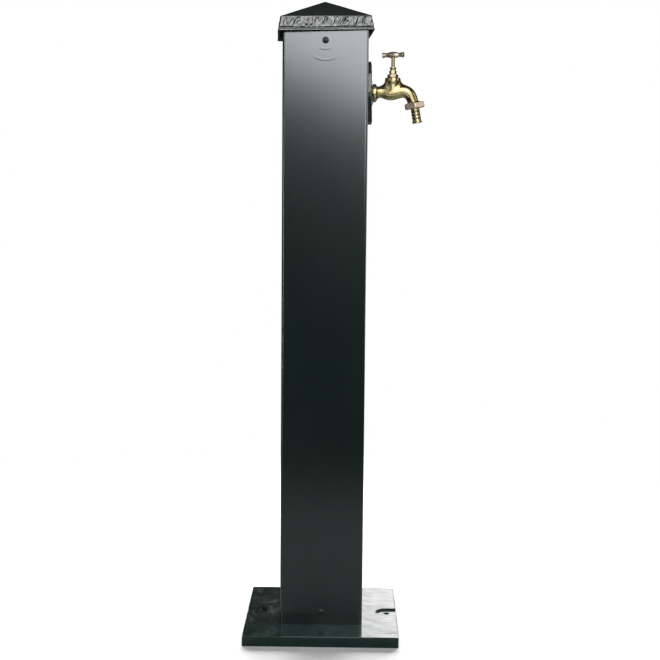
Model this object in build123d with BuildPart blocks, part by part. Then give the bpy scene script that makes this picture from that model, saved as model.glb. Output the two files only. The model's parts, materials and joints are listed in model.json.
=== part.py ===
"""Garden water fountain: a square steel post on a cast base, with a cast cap and a brass bib tap.

Millimetres, +Z up. The origin is on the post's axis, at the ground. The tap points along +X.
"""
from build123d import *
import math
import os

os.makedirs("parts", exist_ok=True)

# Post
post_width = 130.0
post_wall = 3.0
post_inner_corner = 1.0
post_length = 936.0

# Cast base
base_width = 242.5
base_height = 16.0
base_deck = 7.0
base_rim = 8.0
base_rib = 6.0
base_corner = 2.0
base_top_round = 1.5
anchor_edge = 15.25
anchor_hole = 9.0
anchor_boss = 30.0
recess_width = 32.0
recess_reach = 17.5
recess_depth = 3.0

# Spigots of the base and the cap, which stand inside the post
spigot_gap = 0.3
spigot_wall = 6.0
base_spigot_height = 32.0
cap_spigot_depth = 40.0

# Cast cap
cap_overhang = 8.6
cap_drop = 13.6
cap_fascia_height = 22.3
cap_fascia_lean = 4.8
cap_wall = 5.0
roof_rise = 30.1
roof_tip = 7.0
roof_thickness = 6.0

# Screws of the base and the cap, one at the front and one at the back; cross sizes are shares of the head
base_screw_rise = 19.4
cap_screw_drop = 27.0
screw_width = 5.0
screw_length = 11.0
screw_gap = 0.1
base_screw_head = 11.5
cap_screw_head = 10.0
screw_head_height = 3.0
screw_head_rim = 0.9
screw_cross_length = 0.56
screw_cross_width = 0.12
screw_cross_depth = 0.45

# Cast backplate behind the tap
tap_drop = 100.5
backplate_length = 97.5
backplate_width = 62.0
backplate_thickness = 8.9
backplate_crown_drop = 2.4
backplate_skin = 4.0
backplate_edge = 5.0
backplate_round = 2.0
boss_height = 11.8
boss_sink = 0.3
boss_base_width = 40.0
boss_top_width = 30.0
plate_screw_spacing = 83.0
plate_screw_head = 9.0
plate_screw_head_height = 2.6
plate_screw_sink = 0.4
plate_screw_pad = 1.0
plate_screw_end = 1.0
plate_nut_width = 8.0
plate_nut_height = 4.0

# Half-inch pipe threads, drawn as plain cylinders
thread_width = 20.9
thread_gap = 0.05
thread_bore = thread_width + 2 * thread_gap

# Extension through the post's wall, its locknut, the elbow, the riser and the inlet socket
extension_collar = 24.6
extension_reach = 19.0
extension_way = 15.0
extension_recess = 0.5
extension_floor = 0.5
part_gap = 0.3
locknut_width = 28.0
locknut_height = 6.0
elbow_arm = 25.0
elbow_width = 27.0
elbow_band_width = 30.0
elbow_band_length = 5.0
elbow_thread_depth = 11.0
elbow_way = 16.4
riser_width = 21.3
riser_way = 16.0
inlet_clearance = 24.0
inlet_length = 32.0
inlet_width = 26.4
inlet_stop_width = 18.0
inlet_stop_height = 2.0

# Tap body
tap_reach = 39.0
tap_shank_length = 11.0
tap_shank_way = 13.0
flange_width = 28.0
flange_rim = 1.2
flange_length = 3.6
flange_overlap = 2.0
flange_step = 0.5
inlet_way = 9.6
barrel_width = 17.0
globe_margin = 0.8
tower_width = 21.6
collar_width = 24.8
collar_top_width = 22.6
collar_lip = 0.8
collar_base = 14.6
collar_wide = 20.0
tap_body_top = 23.7
seat_height = 7.5
seat_lip = 1.0
seat_hole = 9.0
seat_width = 12.0
chamber_width = 13.3
spout_width = 17.4
spout_sink = 1.0
spout_bend_back = 2.6
spout_bend_rise = 5.0
tower_fillet = 13.0

# Outlet, its union nut and hose tail, about an axis that leans outwards
outlet_lean = 10.0
outlet_offset = 35.2
outlet_drop = 22.9
outlet_thread_width = 26.4
outlet_thread_length = 4.2
outlet_shoulder = 1.2
union_nut_flats = 29.6
union_nut_height = 8.4
union_nut_lip = 1.5
tail_flange_width = 24.4
tail_flange_height = 1.5
tail_washer_height = 1.6
tail_length = 22.9
tail_width = 13.2
tail_barb_width = 14.0
tail_end_width = 15.6
tail_end_rim = 1.0
tail_way = 9.0
tail_barbs = 4
tail_neck = 2.2
barb_ramp_share = 0.2
barb_land_share = 0.15
barb_back_share = 0.45
nut_chamfer_share = 0.035

# Headwork: bonnet, gland, spindle and valve, about the stem axis
bonnet_flats = 15.0
bonnet_hex_height = 4.6
bonnet_gasket_height = 0.6
bonnet_neck_width = 8.1
bonnet_neck_height = 3.6
bonnet_roof = 1.5
gland_flats = 9.8
gland_hex_height = 5.8
gland_neck_width = 8.0
gland_neck_height = 1.9
gland_rim_width = 10.2
gland_rim_height = 2.7
gland_rim_chamfer = 0.8
gland_lift = 0.5
packing_height = 1.6
running_gap = 0.05
spindle_width = 5.5
spindle_thread_width = 8.0
spindle_square = 3.8
shoulder_depth = 1.6
valve_lift = 5.0
valve_plate_width = 12.4
valve_plate_height = 2.0
valve_washer_height = 3.0
valve_stem_width = 4.0
valve_stem_height = 6.0
valve_stub_width = 3.0
valve_nut_flats = 6.0
valve_nut_height = 2.6
valve_stub_end = 0.5

# Tee handle
handle_height = 58.7
handle_length = 38.0
handle_turn = -22.0
handle_hub_width = 9.6
handle_arm_width = 5.4
handle_end_width = 9.2
handle_hub_length = 14.0
handle_arm_place = 12.2
handle_end_round = 0.6

# Places that follow from the sizes above
anchor_spacing = base_width - 2 * anchor_edge
post_face = post_width / 2
post_inside = post_face - post_wall
post_corner = post_inner_corner + post_wall
post_top = base_height + post_length
tap_height = post_top - tap_drop
spigot_width = 2 * (post_inside - spigot_gap)
spigot_opening = spigot_width - 2 * spigot_wall
cap_bottom = post_top - cap_drop
cap_eave = cap_bottom + cap_fascia_height
cap_width = post_width + 2 * cap_overhang
cap_eave_width = cap_width - 2 * cap_fascia_lean
cap_lean_angle = math.degrees(math.atan2(cap_fascia_lean, cap_fascia_height))
roof_slope = roof_rise / (cap_eave_width / 2)
roof_angle = 90 - math.degrees(math.atan(roof_slope))
base_screw_height = base_height + base_screw_rise
cap_screw_height = post_top - cap_screw_drop
wall_plane = Plane(origin=(post_face, 0, tap_height), x_dir=(0, 1, 0), z_dir=(1, 0, 0))
inlet_plane = Plane(origin=(post_face, 0, tap_height), x_dir=(1, 0, 0), z_dir=(0, -1, 0))
inlet_axis = Axis((0, 0, tap_height), (1, 0, 0))
tap_x = post_face + tap_reach
stem_plane = Plane(origin=(tap_x, 0, tap_height), x_dir=(1, 0, 0), z_dir=(0, -1, 0))
stem_axis = Axis((tap_x, 0, 0), (0, 0, 1))


def stem_level(height):
    """A level plane on the stem axis, at a height above the tap's inlet axis."""
    return Plane((tap_x, 0, tap_height + height))


def round_head_screw(head_width, head_height, shank_width, shank_length):
    """A domed head above the origin and a shank below it, along Z."""
    with BuildPart(mode=Mode.PRIVATE) as screw:
        with BuildSketch(Plane.XZ):
            with BuildLine():
                Line((0, head_height), (0, -shank_length))
                Line((0, -shank_length), (shank_width / 2, -shank_length))
                Line((shank_width / 2, -shank_length), (shank_width / 2, 0))
                Line((shank_width / 2, 0), (head_width / 2, 0))
                Line((head_width / 2, 0), (head_width / 2, screw_head_rim))
                TangentArc((0, head_height), (head_width / 2, screw_head_rim), tangent=(1, 0))
            make_face()
        revolve(axis=Axis.Z)
        with BuildSketch(Plane.XY.offset(head_height)):
            for cross_turn in (0, 90):
                Rectangle(screw_cross_length * head_width, screw_cross_width * head_width,
                          rotation=cross_turn)
        extrude(amount=-screw_cross_depth * head_height, mode=Mode.SUBTRACT)
    return screw.part


def hexagon_nut(flats, height, bore):
    """A nut above the origin, along Z, whose corners are turned down at both ends."""
    with BuildPart(mode=Mode.PRIVATE) as nut:
        with BuildSketch():
            RegularPolygon(flats / 2, 6, major_radius=False)
        extrude(amount=height)
        with BuildSketch(Plane.XZ):
            with BuildLine():
                corner = flats / math.sqrt(3)
                chamfer = nut_chamfer_share * flats
                Polyline((0, 0), (flats / 2, 0), (corner, chamfer), (corner, height - chamfer),
                         (flats / 2, height), (0, height), close=True)
            make_face()
        revolve(axis=Axis.Z, mode=Mode.INTERSECT)
        with BuildSketch():
            Circle(bore / 2)
        extrude(amount=height, mode=Mode.SUBTRACT)
    return nut.part


# Base: a hollow casting with a rim, ribs, anchor bosses and a square spigot for the post
with BuildPart() as base_plate:
    with BuildSketch():
        RectangleRounded(base_width, base_width, base_corner)
    extrude(amount=base_height)
    fillet(base_plate.faces().sort_by(Axis.Z)[-1].edges(), base_top_round)
    with BuildSketch():
        Rectangle(base_width - 2 * base_rim, base_width - 2 * base_rim)
        Rectangle(spigot_width, spigot_width, mode=Mode.SUBTRACT)
        for rib_angle in (0, 45, 90, 135):
            Rectangle(2 * base_width, base_rib, rotation=rib_angle, mode=Mode.SUBTRACT)
        with Locations((anchor_spacing / 2, 0), (-anchor_spacing / 2, 0)):
            Circle(anchor_boss / 2, mode=Mode.SUBTRACT)
    extrude(amount=base_height - base_deck, mode=Mode.SUBTRACT)
    with BuildSketch(Plane.XY.offset(base_height)):
        RectangleRounded(spigot_width, spigot_width, post_inner_corner + spigot_gap)
    extrude(amount=base_spigot_height)
    with BuildSketch():
        Rectangle(spigot_opening, spigot_opening)
    extrude(amount=base_height + base_spigot_height, mode=Mode.SUBTRACT)
    with BuildSketch(Plane.XY.offset(base_height)):
        recess_end = anchor_spacing / 2 - recess_reach + recess_width / 2
        with Locations((recess_end, 0), (-recess_end, 0)):
            Circle(recess_width / 2)
        recess_run = base_width / 2 - recess_end
        with Locations((recess_end + recess_run / 2, 0), (-recess_end - recess_run / 2, 0)):
            Rectangle(recess_run, recess_width)
    extrude(amount=-recess_depth, mode=Mode.SUBTRACT)
    with Locations((anchor_spacing / 2, 0, base_height), (-anchor_spacing / 2, 0, base_height)):
        Hole(anchor_hole / 2)
    with BuildSketch(Plane.XZ):
        with Locations((0, base_screw_height)):
            Circle(screw_width / 2 + screw_gap / 2)
    extrude(amount=post_width, both=True, mode=Mode.SUBTRACT)

# Post: square tube, with holes for the screws, the extension and the backplate's screws
with BuildPart() as post_tube:
    with BuildSketch(Plane.XY.offset(base_height)):
        RectangleRounded(post_width, post_width, post_corner)
        RectangleRounded(2 * post_inside, 2 * post_inside, post_inner_corner, mode=Mode.SUBTRACT)
    extrude(amount=post_length)
    with BuildSketch(Plane.XZ):
        with Locations((0, base_screw_height), (0, cap_screw_height)):
            Circle(screw_width / 2 + screw_gap)
    extrude(amount=post_width, both=True, mode=Mode.SUBTRACT)
    with BuildSketch(wall_plane):
        Circle(thread_width / 2 + part_gap)
        with Locations((0, plate_screw_spacing / 2), (0, -plate_screw_spacing / 2)):
            Circle(screw_width / 2 + screw_gap)
    extrude(amount=-2 * post_wall, mode=Mode.SUBTRACT)

# Cap: a hollow casting with a leaning fascia, a pyramid roof and a square spigot
with BuildPart() as top_cap:
    with BuildSketch(Plane.XY.offset(cap_bottom)):
        Rectangle(cap_width, cap_width)
    extrude(amount=cap_fascia_height, taper=cap_lean_angle)
    with BuildSketch(Plane.XY.offset(cap_eave)):
        Rectangle(cap_eave_width, cap_eave_width)
    extrude(amount=roof_rise - roof_slope * roof_tip / 2, taper=roof_angle)
    with BuildSketch(Plane.XY.offset(cap_bottom)):
        Rectangle(cap_width - 2 * cap_wall, cap_width - 2 * cap_wall)
    extrude(amount=cap_drop, taper=cap_lean_angle, mode=Mode.SUBTRACT)
    with BuildSketch(Plane.XY.offset(post_top)):
        RectangleRounded(spigot_width, spigot_width, post_inner_corner + spigot_gap)
    extrude(amount=-cap_spigot_depth)
    hollow_top = cap_eave + roof_slope * (cap_eave_width - spigot_opening) / 2 - roof_thickness
    with BuildSketch(Plane.XY.offset(post_top - cap_spigot_depth)):
        Rectangle(spigot_opening, spigot_opening)
    extrude(amount=hollow_top - post_top + cap_spigot_depth, mode=Mode.SUBTRACT)
    with BuildSketch(Plane.XY.offset(hollow_top)):
        Rectangle(spigot_opening, spigot_opening)
    extrude(amount=roof_slope * (spigot_opening - roof_tip) / 2, taper=roof_angle, mode=Mode.SUBTRACT)
    with BuildSketch(Plane.XZ):
        with Locations((0, cap_screw_height)):
            Circle(screw_width / 2 + screw_gap / 2)
    extrude(amount=post_width, both=True, mode=Mode.SUBTRACT)

# Screws through the post into the two spigots, front and back
with BuildPart() as base_screws:
    base_screw = round_head_screw(base_screw_head, screw_head_height, screw_width, screw_length)
    with Locations(Plane((0, -post_face, base_screw_height), z_dir=(0, -1, 0)),
                   Plane((0, post_face, base_screw_height), z_dir=(0, 1, 0))):
        add(base_screw)

with BuildPart() as cap_screws:
    cap_screw = round_head_screw(cap_screw_head, screw_head_height, screw_width, screw_length)
    with Locations(Plane((0, -post_face, cap_screw_height), z_dir=(0, -1, 0)),
                   Plane((0, post_face, cap_screw_height), z_dir=(0, 1, 0))):
        add(cap_screw)

# Backplate: an oval crowned casting, hollow behind, with a conical boss round the extension
crown_half = backplate_length / 2
crown_radius = (crown_half**2 + backplate_crown_drop**2) / (2 * backplate_crown_drop)
crown_centre = post_face + backplate_thickness - crown_radius
screw_crown = crown_centre + math.sqrt(crown_radius**2 - (plate_screw_spacing / 2) ** 2)
plate_screw_seat = screw_crown - post_face - plate_screw_sink
with BuildPart() as backplate:
    with BuildSketch(wall_plane):
        Ellipse(backplate_width / 2, backplate_length / 2)
    extrude(amount=2 * backplate_thickness)
    with Locations((crown_centre, 0, tap_height)):
        Sphere(crown_radius, mode=Mode.INTERSECT)
    fillet(backplate.faces().sort_by(Axis.X)[-1].edges(), backplate_round)
    with BuildSketch(inlet_plane):
        with BuildLine():
            Polyline((backplate_skin, 0), (backplate_skin, boss_base_width / 2),
                     (backplate_thickness - boss_sink, boss_base_width / 2),
                     (boss_height, boss_top_width / 2), (boss_height, 0), close=True)
        make_face()
    revolve(axis=inlet_axis)
    with BuildSketch(wall_plane):
        Ellipse(backplate_width / 2 - backplate_edge, backplate_length / 2 - backplate_edge)
        Circle(extension_collar / 2 + backplate_edge, mode=Mode.SUBTRACT)
        with Locations((0, plate_screw_spacing / 2), (0, -plate_screw_spacing / 2)):
            Circle(plate_screw_head / 2 + plate_screw_pad, mode=Mode.SUBTRACT)
    extrude(amount=backplate_skin, mode=Mode.SUBTRACT)
    with BuildSketch(wall_plane):
        Circle(extension_collar / 2 + part_gap)
        with Locations((0, plate_screw_spacing / 2), (0, -plate_screw_spacing / 2)):
            Circle(screw_width / 2 + screw_gap)
    extrude(amount=boss_height, mode=Mode.SUBTRACT)
    with BuildSketch(wall_plane.offset(plate_screw_seat)):
        with Locations((0, plate_screw_spacing / 2), (0, -plate_screw_spacing / 2)):
            Circle(plate_screw_head / 2 + part_gap)
    extrude(amount=backplate_thickness, mode=Mode.SUBTRACT)

plate_screw_reach = plate_screw_seat + post_wall + plate_nut_height + plate_screw_end
with BuildPart() as backplate_screws:
    plate_screw = round_head_screw(plate_screw_head, plate_screw_head_height, screw_width,
                                   plate_screw_reach)
    seat_plane = wall_plane.offset(plate_screw_seat)
    with Locations(seat_plane * Pos(0, plate_screw_spacing / 2),
                   seat_plane * Pos(0, -plate_screw_spacing / 2)):
        add(plate_screw)

with BuildPart() as backplate_nuts:
    with BuildSketch(wall_plane.offset(-post_wall)):
        with Locations((0, plate_screw_spacing / 2), (0, -plate_screw_spacing / 2)):
            RegularPolygon(plate_nut_width / 2, 6, major_radius=False)
            Circle(screw_width / 2 + screw_gap / 2, mode=Mode.SUBTRACT)
    extrude(amount=-plate_nut_height)

# Extension: a socket inside the boss, and a threaded tube through the post's wall
extension_front = boss_height - extension_recess
with BuildPart() as tap_extension:
    with BuildSketch(inlet_plane):
        with BuildLine():
            Polyline((-extension_reach, extension_way / 2), (-extension_reach, thread_width / 2),
                     (0, thread_width / 2), (0, extension_collar / 2),
                     (extension_front, extension_collar / 2), (extension_front, thread_bore / 2),
                     (extension_floor, thread_bore / 2), (extension_floor, extension_way / 2), close=True)
        make_face()
    revolve(axis=inlet_axis)

with BuildPart() as extension_locknut:
    with Locations(wall_plane.offset(-post_wall - locknut_height)):
        add(hexagon_nut(locknut_width, locknut_height, thread_bore))

# Elbow: two banded sockets at a right angle, one round the extension and one round the riser
elbow_face = -post_wall - locknut_height - part_gap
elbow_centre = elbow_face - elbow_arm
riser_x = post_face + elbow_centre
elbow_mouths = [Plane((riser_x + elbow_arm, 0, tap_height), z_dir=(1, 0, 0)),
                Plane((riser_x, 0, tap_height - elbow_arm), z_dir=(0, 0, -1))]
with BuildPart() as pipe_elbow:
    for mouth in elbow_mouths:
        with BuildSketch(mouth):
            Circle(elbow_width / 2)
        extrude(amount=-elbow_arm)
        with BuildSketch(mouth):
            Circle(elbow_band_width / 2)
        extrude(amount=-elbow_band_length)
    with Locations((riser_x, 0, tap_height)):
        Sphere(elbow_width / 2)
    for mouth in elbow_mouths:
        with BuildSketch(mouth):
            Circle(thread_bore / 2)
        extrude(amount=-elbow_thread_depth, mode=Mode.SUBTRACT)
        with BuildSketch(mouth):
            Circle(elbow_way / 2)
        extrude(amount=-elbow_arm, mode=Mode.SUBTRACT)
    with Locations((riser_x, 0, tap_height)):
        Sphere(elbow_way / 2, mode=Mode.SUBTRACT)

# Riser: steel pipe with a turned-down thread at each end, and the inlet socket below it
riser_top = tap_height - elbow_arm + elbow_thread_depth - part_gap
riser_bottom = inlet_clearance + inlet_length / 2 + inlet_stop_height / 2 + part_gap
with BuildPart() as riser_pipe:
    with BuildSketch(Plane.XY.offset(riser_bottom)):
        with Locations((riser_x, 0)):
            Circle(thread_width / 2)
    extrude(amount=riser_top - riser_bottom)
    riser_foot = inlet_clearance + inlet_length + part_gap
    with BuildSketch(Plane.XY.offset(riser_foot)):
        with Locations((riser_x, 0)):
            Circle(riser_width / 2)
    extrude(amount=tap_height - elbow_arm - part_gap - riser_foot)
    with Locations((riser_x, 0, riser_top)):
        Hole(riser_way / 2)

with BuildPart() as inlet_socket:
    with BuildSketch(Plane.XY.offset(inlet_clearance)):
        with Locations((riser_x, 0)):
            Circle(inlet_width / 2)
            Circle(thread_bore / 2, mode=Mode.SUBTRACT)
    extrude(amount=inlet_length)
    with BuildSketch(Plane.XY.offset(inlet_clearance + (inlet_length - inlet_stop_height) / 2)):
        with Locations((riser_x, 0)):
            Circle(inlet_width / 2)
            Circle(inlet_stop_width / 2, mode=Mode.SUBTRACT)
    extrude(amount=inlet_stop_height)

# Outlet axis: it leans outwards on its way down, from an origin at the union nut's lower face
lean = math.radians(outlet_lean)
outlet_up = Vector(-math.sin(lean), 0, math.cos(lean))
outlet_origin = Vector(tap_x + outlet_offset, 0, tap_height - outlet_drop)
outlet_plane = Plane(origin=outlet_origin, x_dir=(math.cos(lean), 0, math.sin(lean)), z_dir=(0, -1, 0))
outlet_axis = Axis(outlet_origin, outlet_up)
tail_flange_high = union_nut_lip + tail_flange_height
outlet_face = tail_flange_high + tail_washer_height


def outlet_level(height):
    """A plane across the outlet axis, at a height along it above its origin."""
    return Plane(origin=outlet_origin + outlet_up * height, z_dir=outlet_up)


def bend_plane(x, z, slope):
    """A plane across the waterway at (x, z), whose heading rises by a slope in degrees."""
    heading = (math.cos(math.radians(slope)), 0, math.sin(math.radians(slope)))
    return Plane(origin=(x, 0, z), x_dir=(0, 1, 0), z_dir=heading)


# Barrel and swan spout: place along and above the stem and inlet axes, slope and width of each section
spout_end = outlet_origin + outlet_up * (outlet_face + spout_sink)
way_end = outlet_origin + outlet_up * tail_flange_high
end_along = spout_end.X - tap_x
end_above = spout_end.Z - tap_height
swan_sections = [
    (boss_height + flange_rim - tap_reach, 0.6, 3, barrel_width),
    (-18.5, 1.7, 1, 18.0),
    (-12, 0.7, 0, 19.5),
    (0, 0.7, 3, tower_width + globe_margin),
    (14, 3.4, -2, 20.8),
    (22.5, 1.4, -28, 19.2),
    (29, -5.3, -60, 17.8),
    (end_along - spout_bend_back, end_above + spout_bend_rise, -78, spout_width),
    (end_along, end_above, outlet_lean - 90, spout_width),
]
way_sections = [
    (3, 11, -15, 6.6),
    (14, 5, -14, 9.2),
    (22.5, 1.1, -32, 9.8),
    (29, -5.3, -60, 10),
    (end_along - spout_bend_back, end_above + spout_bend_rise, -78, tail_way),
    (way_end.X - tap_x, way_end.Z - tap_height, outlet_lean - 90, tail_way),
]

# Tap body: shank and flange, barrel and swan spout, tower and collar, outlet thread, waterways
with BuildPart() as tap_body:
    for along, above, slope, width in swan_sections:
        with BuildSketch(bend_plane(tap_x + along, tap_height + above, slope)):
            Circle(width / 2)
    loft()
    with BuildSketch(stem_level(0)):
        Circle(tower_width / 2)
    extrude(amount=tap_body_top)
    tower_joint = tap_body.edges().filter_by(GeomType.BSPLINE)
    tower_joint = tower_joint.filter_by_position(Axis.X, tap_x - tower_width / 2, tap_x + tower_width / 2)
    tower_joint = tower_joint.filter_by_position(Axis.Z, tap_height + 1, tap_height + tap_body_top)
    fillet(tower_joint, tower_fillet)
    with BuildSketch(stem_plane):
        with BuildLine():
            Line((0, tap_body_top), (0, collar_base))
            Line((0, collar_base), (tower_width / 2 + collar_lip, collar_base))
            ThreePointArc((tower_width / 2 + collar_lip, collar_base), (collar_width / 2, collar_wide),
                          (collar_top_width / 2, tap_body_top))
            Line((collar_top_width / 2, tap_body_top), (0, tap_body_top))
        make_face()
    revolve(axis=stem_axis)
    with BuildSketch(inlet_plane):
        with BuildLine():
            shank_end = boss_height - tap_shank_length
            flange_end = boss_height + flange_length
            Polyline((shank_end, 0), (shank_end, thread_width / 2), (boss_height, thread_width / 2),
                     (boss_height, flange_width / 2), (boss_height + flange_rim, flange_width / 2),
                     (flange_end, barrel_width / 2),
                     (flange_end + flange_overlap, barrel_width / 2 - flange_step),
                     (flange_end + flange_overlap, 0), close=True)
        make_face()
    revolve(axis=inlet_axis)
    with BuildSketch(outlet_plane):
        with BuildLine():
            outlet_top = outlet_face + outlet_thread_length
            Polyline((0, outlet_face), (outlet_thread_width / 2, outlet_face),
                     (outlet_thread_width / 2, outlet_top), (spout_width / 2, outlet_top + outlet_shoulder),
                     (0, outlet_top + outlet_shoulder), close=True)
        make_face()
    revolve(axis=outlet_axis)
    with BuildSketch(stem_level(seat_height - seat_lip)):
        Circle(chamber_width / 2)
    extrude(amount=tap_body_top - seat_height + seat_lip, mode=Mode.SUBTRACT)
    with BuildSketch(stem_level(seat_height - seat_lip)):
        Circle(seat_width / 2)
    extrude(amount=seat_lip)
    with BuildSketch(inlet_plane):
        with BuildLine():
            Polyline((shank_end, 0), (shank_end, tap_shank_way / 2), (boss_height, tap_shank_way / 2),
                     (flange_end, inlet_way / 2), (tap_reach, inlet_way / 2), (tap_reach, 0), close=True)
        make_face()
    revolve(axis=inlet_axis, mode=Mode.SUBTRACT)
    with Locations((tap_x, 0, tap_height)):
        Sphere(inlet_way / 2, mode=Mode.SUBTRACT)
    with BuildSketch(stem_level(0)):
        Circle(seat_hole / 2)
    extrude(amount=seat_height, mode=Mode.SUBTRACT)
    for along, above, slope, width in way_sections:
        with BuildSketch(bend_plane(tap_x + along, tap_height + above, slope)):
            Circle(width / 2)
    loft(mode=Mode.SUBTRACT)

# Headwork, from the seat upwards
valve_bottom = seat_height - valve_nut_height - valve_stub_end
washer_top = seat_height + valve_washer_height
plate_top = washer_top + valve_plate_height
bonnet_bottom = plate_top + valve_lift + part_gap
hex_bottom = tap_body_top + bonnet_gasket_height
hex_top = hex_bottom + bonnet_hex_height
neck_top = hex_top + bonnet_neck_height
spindle_thread_top = hex_top - bonnet_roof - valve_lift - part_gap
gland_bottom = hex_top + gland_lift
gland_hex_top = gland_bottom + gland_hex_height
gland_neck_top = gland_hex_top + gland_neck_height
gland_top = gland_neck_top + gland_rim_height
packing_top = neck_top + packing_height
spindle_bore = spindle_width / 2 + running_gap
hub_bottom = handle_height - handle_hub_width / 2
hub_top = handle_height + handle_hub_width / 2
shoulder = hub_bottom + shoulder_depth

with BuildPart() as bonnet:
    with Locations(stem_level(hex_bottom)):
        add(hexagon_nut(bonnet_flats, bonnet_hex_height, chamber_width - 2 * thread_gap))
    with BuildSketch(stem_plane):
        with BuildLine():
            Polyline((spindle_thread_width / 2 + running_gap, bonnet_bottom),
                     (chamber_width / 2 - thread_gap, bonnet_bottom),
                     (chamber_width / 2 - thread_gap, hex_top), (bonnet_neck_width / 2, hex_top),
                     (bonnet_neck_width / 2, neck_top), (spindle_bore, neck_top),
                     (spindle_bore, hex_top - bonnet_roof),
                     (spindle_thread_width / 2 + running_gap, hex_top - bonnet_roof), close=True)
        make_face()
    revolve(axis=stem_axis)

with BuildPart() as bonnet_gasket:
    with BuildSketch(stem_level(tap_body_top)):
        Circle(bonnet_flats / 2)
        Circle(chamber_width / 2, mode=Mode.SUBTRACT)
    extrude(amount=bonnet_gasket_height)

with BuildPart() as gland_packing:
    with BuildSketch(stem_level(neck_top)):
        Circle(bonnet_neck_width / 2)
        Circle(spindle_bore, mode=Mode.SUBTRACT)
    extrude(amount=packing_height)

with BuildPart() as gland_nut:
    with Locations(stem_level(gland_bottom)):
        add(hexagon_nut(gland_flats, gland_hex_height, 2 * spindle_bore))
    with BuildSketch(stem_plane):
        with BuildLine():
            Polyline((0, gland_hex_top), (gland_neck_width / 2, gland_hex_top),
                     (gland_neck_width / 2, gland_neck_top),
                     (gland_rim_width / 2, gland_neck_top + gland_rim_chamfer),
                     (gland_rim_width / 2, gland_top - gland_rim_chamfer),
                     (gland_neck_width / 2, gland_top), (0, gland_top), close=True)
        make_face()
    revolve(axis=stem_axis)
    with BuildSketch(stem_level(gland_bottom)):
        Circle(bonnet_neck_width / 2 + thread_gap)
    extrude(amount=packing_top - gland_bottom, mode=Mode.SUBTRACT)
    with BuildSketch(stem_level(gland_bottom)):
        Circle(spindle_bore)
    extrude(amount=gland_top - gland_bottom, mode=Mode.SUBTRACT)

with BuildPart() as spindle:
    with BuildSketch(stem_plane):
        with BuildLine():
            Polyline((0, plate_top), (spindle_thread_width / 2, plate_top),
                     (spindle_thread_width / 2, spindle_thread_top),
                     (spindle_width / 2, spindle_thread_top),
                     (spindle_width / 2, shoulder), (0, shoulder), close=True)
        make_face()
    revolve(axis=stem_axis)
    with BuildSketch(stem_level(shoulder)):
        Rectangle(spindle_square, spindle_square, rotation=handle_turn)
    extrude(amount=hub_top - shoulder)
    with BuildSketch(stem_level(plate_top)):
        Circle(valve_stem_width / 2 + running_gap)
    extrude(amount=valve_stem_height + part_gap, mode=Mode.SUBTRACT)

with BuildPart() as jumper_valve:
    with BuildSketch(stem_plane):
        with BuildLine():
            Polyline((0, valve_bottom), (valve_stub_width / 2, valve_bottom),
                     (valve_stub_width / 2, washer_top), (valve_plate_width / 2, washer_top),
                     (valve_plate_width / 2, plate_top), (valve_stem_width / 2, plate_top),
                     (valve_stem_width / 2, plate_top + valve_stem_height),
                     (0, plate_top + valve_stem_height), close=True)
        make_face()
    revolve(axis=stem_axis)

with BuildPart() as valve_washer:
    with BuildSketch(stem_level(seat_height)):
        Circle(valve_plate_width / 2)
        Circle(valve_stub_width / 2 + running_gap, mode=Mode.SUBTRACT)
    extrude(amount=valve_washer_height)

with BuildPart() as valve_nut:
    with BuildSketch(stem_level(seat_height - valve_nut_height)):
        RegularPolygon(valve_nut_flats / 2, 6, major_radius=False)
        Circle(valve_stub_width / 2 + running_gap, mode=Mode.SUBTRACT)
    extrude(amount=valve_nut_height)

# Tee handle: a turned bar with a swelling at the spindle and flared ends
bar_angle = math.radians(handle_turn)
bar_direction = (math.cos(bar_angle), math.sin(bar_angle), 0)
bar_centre = (tap_x, 0, tap_height + handle_height)
bar_axis = Axis(bar_centre, bar_direction)
bar_front = (math.sin(bar_angle), -math.cos(bar_angle), 0)
bar_plane = Plane(origin=bar_centre, x_dir=bar_direction, z_dir=bar_front)
with BuildPart() as tee_handle:
    with BuildSketch(bar_plane):
        with BuildLine():
            half_bar = handle_length / 2
            hub_edge = handle_hub_length / 2
            hub_edge_width = (handle_hub_width + handle_arm_width) / 2
            ThreePointArc((-hub_edge, hub_edge_width / 2), (0, handle_hub_width / 2),
                          (hub_edge, hub_edge_width / 2))
            for side in (-1, 1):
                ThreePointArc((side * hub_edge, hub_edge_width / 2),
                              (side * handle_arm_place, handle_arm_width / 2),
                              (side * half_bar, handle_end_width / 2))
            Polyline((half_bar, handle_end_width / 2), (half_bar, 0), (-half_bar, 0),
                     (-half_bar, handle_end_width / 2))
        make_face()
    revolve(axis=bar_axis)
    bar_rings = tee_handle.edges().filter_by(GeomType.CIRCLE).sort_by(bar_axis)
    fillet([bar_rings[0], bar_rings[-1]], handle_end_round)
    with BuildSketch(stem_level(hub_bottom)):
        Circle(spindle_bore)
    extrude(amount=shoulder_depth, mode=Mode.SUBTRACT)
    with BuildSketch(stem_level(shoulder)):
        Rectangle(spindle_square + 2 * running_gap, spindle_square + 2 * running_gap, rotation=handle_turn)
    extrude(amount=hub_top - shoulder, mode=Mode.SUBTRACT)

# Union nut, hose tail and its washer
with BuildPart() as union_nut:
    with Locations(outlet_level(0) * Rot(0, 0, 30)):
        add(hexagon_nut(union_nut_flats, union_nut_height, tail_end_width + 2 * part_gap))
    with BuildSketch(outlet_level(union_nut_lip)):
        Circle(outlet_thread_width / 2 + 2 * thread_gap)
    extrude(amount=union_nut_height - union_nut_lip, mode=Mode.SUBTRACT)

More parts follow.
